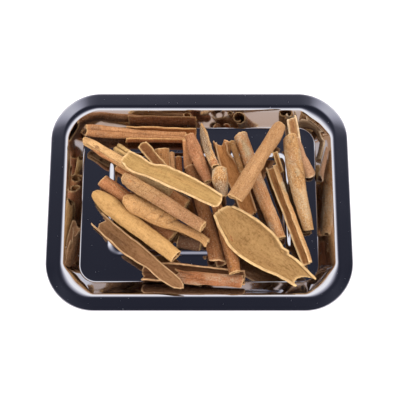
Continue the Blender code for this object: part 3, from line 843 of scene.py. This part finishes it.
rightQuill = dict(
    node="right_quill", heading=-80, length=87, across=13.6, roll=175,
    left=[(0, 6.2), (0.17, 6.1), (0.38, 6.3), (0.59, 5.6), (1, 5.4)],
    right=[(0, -6.8), (0.1, -7.8), (0.34, -9.6), (0.64, -8.2), (1, -4.2)],
    endA=[(-0.5, 1.5), (-0.1, -1.2), (0.4, 2)],
    creases=[(0.31, -1, 0.44, 4.4, 0.6, 0.5, 0.5), (0.36, -3.5, 0.5, 0.5, 0.6, 0.4, 0.3),
             (0.02, 2, 0.1, -3, 0.5, 0.4, 0.4)],
    stainsAndPaintedLight=[(0.4, -0.6, 4, 1.8, (196, 184, 150), 0.35), (0.24, -3, 10, 3, (166, 122, 88), 0.5),
            (0.7, 1, 16, 3, (212, 166, 114), 0.4)],
    bark=(186, 138, 88), lichen=0.3, pale=0.45)
layStick(rightQuill)

openGutter = dict(
    node="open_gutter", heading=-72.8, length=96.5, across=11, turn=230, lean=0, hook=0.3, roll=28,
    left=[(0, 5.4), (1, 5.2)], right=[(0, -5.8), (0.94, -4.7)], curlB=[(0, 80), (1, 60)], lip=0.6, rim=1.1,
    stainsAndPaintedLight=[(0.25, 3.6, 7, 1.5, (200, 188, 156), 0.6), (0.5, -1.2, 50, 1.8, (104, 60, 34), 0.8),
            (0.7, 3.4, 18, 1.6, (206, 158, 104), 0.5)],
    bark=(194, 144, 94), inside=(176, 122, 74), cut=(226, 188, 138), slot="bark_golden")
layStick(openGutter)

brownPlate = dict(
    node="brown_plate", heading=-53, length=38, across=11, turn=170, lean=0.2, hook=0.2, roll=-14,
    shown=dict(turn=40, oval=0.8), left=[(0, 6), (0.8, 6.4), (1, 6.4)], right=[(0, -5.4), (1, -5.4)],
    endA=[(-1, 0), (0, -2.4), (1, -1)], lip=0.5, rim=1.2,
    stainsAndPaintedLight=[(0.3, -1, 9, 3, (126, 82, 52), 0.5), (0.7, 2, 7, 2.6, (172, 124, 84), 0.5)],
    bark=(122, 76, 42), inside=(124, 80, 46), speck=0.6, slot="bark_brown")
layStick(brownPlate)

backQuill = dict(
    node="back_quill", heading=-68, length=47.5, across=11.4, thick=1.4, roll=160, narrowA=0.15,
    left=[(0, 5.2), (0.27, 5.9), (1, 4)], right=[(0, -3.6), (0.3, -6), (1, -4.4)],
    creases=[(0.2, 1.6, 0.9, 2.2, 0.5, 0.25, 0.3)],
    stainsAndPaintedLight=[(0.35, -2, 7, 2.4, (146, 92, 60), 0.6), (0.6, 1.5, 6, 2, (196, 140, 98), 0.5),
            (0.8, -1, 8, 3, (156, 100, 66), 0.5)],
    bark=(176, 120, 82), mottle=0.5, band=0.3, slot="bark_red")
layStick(backQuill)

thinRoll = dict(node="thin_roll", heading=-72.5, length=30, across=4.5, turn=400, thick=0.95, roll=180,
                bark=(143, 101, 60))
layStick(thinRoll)

greyStick = dict(
    node="grey_stick", heading=-76, length=56, across=8.8, thick=1.25, pointA=8, roll=185,
    left=[(0, 1.4), (0.05, 2.4), (0.14, 3), (0.5, 2.6), (1, 4)],
    right=[(0, -0.9), (0.05, -2.2), (0.14, -3.6), (0.4, -5.3), (0.85, -4.5), (1, -3.2)],
    stainsAndPaintedLight=[(0.45, -2.4, 26, 2.8, (132, 112, 92), 0.85), (0.5, 1.9, 30, 1, (216, 174, 124), 0.7),
            (0.97, 0, 6, 6, (164, 98, 62), 0.7)],
    bark=(206, 154, 98), speck=1, pale=0.6, lichen=0.35, slot="bark_grey")
layStick(greyStick)

shortPiece = dict(
    node="short_piece", heading=-85, length=25.5, across=13.2, turn=260, lean=0, hook=0, roll=180,
    left=[(0, 5.9), (0.45, 6.4), (0.9, 4.8), (1, 4)],
    right=[(0, -6.4), (0.39, -8.4), (0.83, -5.6), (1, -4.4)],
    endA=[(-0.6, 0.5), (0, -0.6), (0.6, 1)],
    stainsAndPaintedLight=[(0.2, 0, 6, 7, (204, 156, 104), 0.6), (0.75, -1, 8, 8, (158, 132, 106), 0.75)],
    bark=(190, 136, 82), pale=0.8, speck=0.8, lichen=0.6, slot="bark_grey")
layStick(shortPiece)

tornGutter = dict(
    node="torn_gutter", heading=-39.8, length=98, across=15.5, turn=200, lean=0, hook=0.2, roll=8,
    narrowB=0.3, slantA=-1, pointA=-2, pointB=3,
    left=[(0, 8), (0.18, 6.9), (0.55, 6.6), (0.91, 5.2), (1, 4.8)],
    right=[(0, -6.7), (0.12, -7.9), (0.27, -9.3), (0.49, -8.8), (0.68, -7.9), (0.83, -8.2), (1, -5.8)],
    curlA=[(0, 10), (0.3, 35), (0.5, 10), (1, 0)], turns=[(0, 1), (0.4, 0.95), (0.7, 0.5), (1, 0.35)],
    edgeA=[(0, -1.5), (0.06, 1.5), (0.14, 0), (0.35, 0), (0.42, 1.2), (1, 0)],
    endA=[(-1, -3.5), (-0.86, 3.5), (-0.5, 1), (0, -1), (0.35, 2.5), (0.7, -1), (1, 0)],
    endB=[(-1, 1.5), (-0.2, -1.5), (0.6, -1), (1, 2)], lip=0.3, rim=1, chip=0.9,
    creases=[(0.1, -4, 0.3, -3.2, 0.6, -0.5, 0.3), (0.06, -1.5, 0.34, -0.8, 0.8, 0.6, 0.4),
             (0.2, -6, 0.45, -6.4, 0.7, -0.4, 0)],
    stainsAndPaintedLight=[(0.2, -3.5, 12, 2.5, (164, 124, 88), 0.5), (0.6, -3, 18, 3, (128, 88, 58), 0.5)],
    bark=(155, 112, 74), inside=(147, 106, 71), cut=(206, 166, 122), slot="bark_brown")
layStick(tornGutter)

lipQuill = dict(
    node="lip_quill", heading=-38.8, length=84, across=12.5, roll=135,
    shown=dict(turn=430, roll=-30, thick=1.5),
    left=[(0, 7), (0.34, 7.8), (1, 6.4)], right=[(0, -5.4), (0.4, -6.2), (1, -6)],
    endA=[(-1, 2), (-0.5, 0.6), (0, -0.6), (0.6, 1)], wrinkles=0.14, lip=0.3, rim=0.8,
    stainsAndPaintedLight=[(0.3, -2, 16, 2.4, (188, 130, 86), 0.4), (0.6, 1.2, 18, 1.6, (148, 90, 54), 0.5)],
    bark=(183, 121, 79), band=0.35, slot="bark_red")
layStick(lipQuill)

yellowQuill = dict(
    node="yellow_quill", heading=-39.8, length=98, across=15, narrowA=0.25, oval=0.75, thick=1.35, roll=185,
    left=[(0, 5), (0.03, 6.6), (0.12, 8.1), (0.37, 7.8), (0.62, 7.4), (1, 6.8)],
    right=[(0, -4.2), (0.03, -5.8), (0.10, -7.6), (0.38, -7.9), (0.68, -6.9), (1, -6.7)],
    endA=[(-0.5, 4), (-0.25, 0.8), (0, 0), (0.25, 0.8), (0.5, 4)],
    bark=(202, 155, 97), inside=(140, 91, 51), mottle=0.3, grain=0.6, crack=0.12, fibre=0.25,
    speck=0.1, pale=0.1, lumps=0.35, slot="bark_golden")
layStick(yellowQuill)

crumpledPiece = dict(
    node="crumpled_piece", heading=-29.6, length=83, across=11.6, turn=330, lean=0.2, hook=0.4,
    bow=2, narrowB=0.25, roll=175,
    left=[(0, 5.6), (0.03, 7.4), (0.24, 7.1), (0.47, 9.3), (0.54, 8.3), (0.6, 5),
          (0.65, 4.4), (0.77, 5.5), (1, 4.2)],
    right=[(0, -6.6), (0.04, -8.2), (0.25, -9), (0.44, -8.8), (0.55, -6.6), (0.66, -3.8), (0.8, -2.9),
           (0.95, -2.8), (1, -4.6)],
    endA=[(-0.5, 2.6), (0, -1.5), (0.3, -1), (0.55, 1.5)], lumps=0.6,
    creases=[(0.30, -6, 0.36, 4, 0.9, 0.7, 0.25), (0.42, -5, 0.47, 6, 0.9, 0.8, 0.3),
             (0.54, -3, 0.6, 5, 0.8, 0.9, 0.4), (0.12, -3, 0.34, -4.5, 0.8, 0.4, 0)],
    stainsAndPaintedLight=[(0.8, 1, 12, 3, (182, 130, 82), 0.5), (0.25, 2, 10, 3, (216, 166, 110), 0.5)],
    bark=(200, 150, 97))
layStick(crumpledPiece)

broadScoop = dict(
    node="broad_scoop", heading=-40.5, length=96, across=39.5, turn=95, lean=0, hook=0, thick=2.3,
    narrowA=0.5, narrowB=0.58, slantA=4, slantB=3, bow=-5, roll=0,
    left=[(0, 8.4), (0.03, 9.4), (0.19, 12.4), (0.41, 13.3), (0.60, 12.2), (0.86, 10.3), (1, 10.2)],
    right=[(0, -9.6), (0.10, -14.6), (0.22, -19.2), (0.33, -21.5), (0.45, -21), (0.68, -16.4),
           (0.82, -11.6), (1, -8.2)],
    curlA=[(0, 10), (0.4, 45), (1, 60)], curlB=[(0, 15), (1, 25)],
    edgeB=[(0, 0), (0.55, 0), (0.6, 1.6), (0.64, -0.6), (0.68, 1.8), (0.72, 0), (1, 0)],
    endA=[(-1, 2.5), (-0.7, 1.5), (0, -0.5), (0.6, 0), (1, 2)],
    endB=[(-1, 0), (-0.6, 3.4), (-0.1, 5.6), (0.35, 3.5), (0.7, 0.5), (1, -3)], chip=0.8,
    lip=1, rim=1.8, lumps=0.8, shadow=0.32,
    creases=[(0.1, 2, 0.75, -4, 2.4, 0.5, 0), (0.3, -11, 0.7, -8, 1.8, -0.5, 0)],
    stainsAndPaintedLight=[(0.35, -12, 16, 4, (160, 118, 72), 0.5), (0.3, -2, 18, 4.5, (176, 134, 84), 0.4),
            (0.7, 4, 16, 4, (196, 154, 102), 0.5), (0.62, -6, 12, 4, (150, 108, 66), 0.45),
            (0.12, 2, 7, 5, (186, 138, 84), 0.5)],
    bark=(144, 103, 64), inside=(173, 133, 84), cut=(232, 192, 136), fibre=0.2, mottle=0.45, crack=0.1,
    speck=0.1, slot="bark_golden", columns=96)
layStick(broadScoop)

middleQuill = dict(
    node="middle_quill", heading=-32.3, length=83, across=13.8, roll=160,
    left=[(0, 6.2), (0.11, 7.4), (0.27, 7.8), (0.52, 7.2), (1, 4.6)],
    right=[(0, -4.2), (0.11, -5), (0.32, -5.4), (1, -6)],
    endA=[(-0.6, -1), (-0.2, -2.6), (0.2, -1.6), (0.5, 1)],
    stainsAndPaintedLight=[(0.08, 0.6, 2.4, 1.4, (190, 120, 66), 0.45), (0.72, 0, 30, 8, (168, 118, 84), 0.55),
            (0.2, 3.6, 10, 2, (206, 156, 102), 0.4)],
    bark=(178, 134, 90), speck=0.5)
layStick(middleQuill)

longGutter = dict(
    node="long_gutter", heading=-27.3, length=95.5, across=18.2, turn=150, lean=0, hook=0.3,
    narrowA=0.12, narrowB=0.2, roll=-12,
    left=[(0, 8.8), (0.12, 8.2), (0.21, 6.7), (0.28, 6.9), (0.39, 9.9), (0.53, 10.2), (0.74, 9.3),
          (1, 6.2)],
    right=[(0, -5.6), (0.04, -7.6), (0.10, -9), (0.30, -8.1), (0.52, -8.1), (0.72, -7.5), (1, -8)],
    endA=[(-1, 3), (-0.6, -1.5), (0, -3.2), (0.6, -1.4), (1, 0)], endB=[(-1, 1), (0, -1), (1, 0.5)],
    lip=0.9, rim=1.4, lumps=0.35, shadow=0.18,
    creases=[(0.1, 3.5, 0.3, 1.5, 1, 0.5, 0)],
    stainsAndPaintedLight=[(0.3, 3, 12, 2, (196, 146, 88), 0.5), (0.6, 4, 20, 2.2, (190, 140, 84), 0.5),
            (0.5, -4, 30, 2, (216, 172, 116), 0.4)],
    bark=(178, 138, 86), inside=(190, 151, 94), cut=(236, 196, 142), fibre=0.4, mottle=0.25, crack=0.15,
    speck=0.1, slot="bark_golden")
layStick(longGutter)

diagonalQuill = dict(
    node="diagonal_quill", heading=-119.8, length=85.5, across=14, roll=170, slantB=2,
    left=[(0, 6.4), (0.03, 6.8), (0.5, 6.9), (0.97, 7.3), (1, 7)],
    right=[(0, -4.2), (0.04, -4.9), (0.3, -5.5), (1, -6.7)],
    endA=[(-0.5, 1.2), (0, -0.8), (0.5, 1.2)], endB=[(-1, 4), (-0.5, 0.5), (0, -1.6), (0.5, 0.5), (1, 4)],
    stainsAndPaintedLight=[(0.3, -2, 3, 1.2, (196, 130, 74), 0.4), (0.6, 2, 20, 2.5, (208, 158, 110), 0.4)],
    bark=(178, 132, 88), speck=0.35, mottle=0.25)
layStick(diagonalQuill)
print("sticks laid")

bpy.context.view_layer.update()
